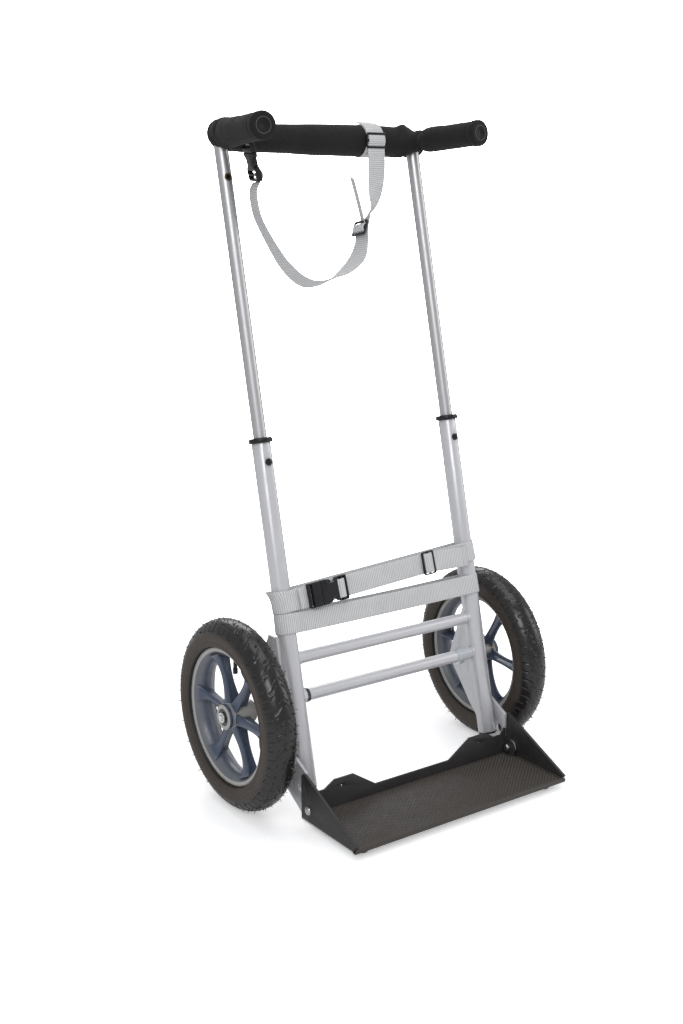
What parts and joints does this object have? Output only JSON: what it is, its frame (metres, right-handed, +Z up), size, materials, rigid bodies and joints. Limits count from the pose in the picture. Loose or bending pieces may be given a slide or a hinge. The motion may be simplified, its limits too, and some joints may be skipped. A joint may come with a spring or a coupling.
{
  "type": "hand trolley",
  "caption": "Leaning two-wheel hand trolley: telescopic padded handle with forward grips, fold-up toe plate, quick-release pneumatic wheels and webbing bands",
  "frame": {"origin": "on the ground, at the middle of the overall footprint", "axes": "+X to the trolley's right as seen from behind the load (toe plate towards the viewer), +Y to its back, +Z up; the uprights lean back by 13 degrees"},
  "size_m": [0.5736, 0.426, 1.0806],
  "materials": {
    "frame_paint": "satin silver-grey paint",
    "sleeve_plastic": "translucent grey sleeve",
    "zinc_steel": "bright zinc plate",
    "spring_steel": "bare spring steel",
    "base_steel": "bright plated sheet",
    "black_plastic": "moulded, slightly grained",
    "button_plastic": "moulded, smooth",
    "handle_alloy": "drawn tube, clear anodised",
    "cast_alloy": "die cast",
    "grip_foam": "closed-cell foam",
    "tray_coat": "black powder coat",
    "mat_rubber": "moulded anti-slip mat",
    "foot_rubber": "moulded foot",
    "rim_nylon": "moulded wheel, blue-grey",
    "tyre_rubber": "moulded tread",
    "tube_rubber": "butyl tube",
    "bearing_seal": "sealed bearing, dark seal",
    "webbing": "woven webbing, light grey"
  },
  "bodies": {
    "frame": {"left_upright_tube": "frame_paint", "right_upright_tube": "frame_paint", "upper_crossbar": "frame_paint", "lower_crossbar": "frame_paint", "crossbar_sleeves": "sleeve_plastic", "left_side_plate": "frame_paint", "right_side_plate": "frame_paint", "axle_receivers": "zinc_steel", "left_slide_collar": "black_plastic", "right_slide_collar": "black_plastic", "lock_clips": "spring_steel", "tube_foot_plugs": "black_plastic", "left_axle": "zinc_steel", "right_axle": "zinc_steel", "left_release_spring": "spring_steel", "right_release_spring": "spring_steel", "upper_band": "webbing", "lower_band": "webbing", "band_buckle_socket": "black_plastic", "band_buckle_plug": "black_plastic"},
    "handle": {"left_handle_tube": "handle_alloy", "right_handle_tube": "handle_alloy", "handle_crossbar": "handle_alloy", "corner_joints": "cast_alloy", "grip_tubes": "handle_alloy", "crossbar_foam": "grip_foam", "left_corner_wrap": "grip_foam", "right_corner_wrap": "grip_foam", "left_grip_foam": "grip_foam", "right_grip_foam": "grip_foam", "grip_caps": "grip_foam", "handle_glides": "black_plastic", "sling_strap": "webbing", "sling_tab": "webbing", "sling_tension_lock": "black_plastic", "sling_slider": "black_plastic", "sling_buckle_socket": "black_plastic", "sling_buckle_plug": "black_plastic"},
    "toe_plate": {"toe_base_plate": "base_steel", "toe_tray": "tray_coat", "toe_mat": "mat_rubber", "toe_feet": "foot_rubber", "tray_rivets": "zinc_steel", "pivot_bolts": "zinc_steel", "pivot_nuts": "zinc_steel"},
    "left_wheel": {"left_rim": "rim_nylon", "left_tyre": "tyre_rubber", "left_inner_tube": "tube_rubber", "left_bearings": "bearing_seal", "left_valve": "tube_rubber"},
    "right_wheel": {"right_rim": "rim_nylon", "right_tyre": "tyre_rubber", "right_inner_tube": "tube_rubber", "right_bearings": "bearing_seal", "right_valve": "tube_rubber"},
    "left_lock": {"left_lock_button": "button_plastic"},
    "right_lock": {"right_lock_button": "button_plastic"},
    "left_release": {"left_release_button": "zinc_steel"},
    "right_release": {"right_release_button": "zinc_steel"},
    "slider": {"band_slider": "black_plastic"}
  },
  "joints": [
    {"name": "handle_slide", "type": "slide", "parent": "frame", "child": "handle", "axis": [0, 0.225, 0.9744], "range_m": [-0.4445, 0]},
    {"name": "toe_plate_fold", "type": "hinge", "parent": "frame", "child": "toe_plate", "pos_m": [0, -0.08502, 0.031], "axis": [-1, 0, 0], "range_deg": [0, 100]},
    {"name": "left_wheel_spin", "type": "hinge", "parent": "frame", "child": "left_wheel", "pos_m": [-0.257, 0.05398, 0.155], "axis": [1, 0, 0], "continuous": true},
    {"name": "right_wheel_spin", "type": "hinge", "parent": "frame", "child": "right_wheel", "pos_m": [0.257, 0.05398, 0.155], "axis": [1, 0, 0], "continuous": true},
    {"name": "left_lock_press", "type": "slide", "parent": "frame", "child": "left_lock", "axis": [0, 0.9744, -0.225], "range_m": [0, 0.0025], "stiffness_N_per_m": 800, "springref_m": -0.002},
    {"name": "right_lock_press", "type": "slide", "parent": "frame", "child": "right_lock", "axis": [0, 0.9744, -0.225], "range_m": [0, 0.0025], "stiffness_N_per_m": 800, "springref_m": -0.002},
    {"name": "left_release_press", "type": "slide", "parent": "frame", "child": "left_release", "axis": [1, 0, 0], "range_m": [0, 0.002], "stiffness_N_per_m": 900, "springref_m": -0.002, "deforming": ["left_release_spring"]},
    {"name": "right_release_press", "type": "slide", "parent": "frame", "child": "right_release", "axis": [-1, 0, 0], "range_m": [0, 0.002], "stiffness_N_per_m": 900, "springref_m": -0.002, "deforming": ["right_release_spring"]},
    {"name": "band_slider_slide", "type": "slide", "parent": "frame", "child": "slider", "axis": [0.9983, 0.0129, 0.0561], "range_m": [-0.12, 0.06]}
  ]
}
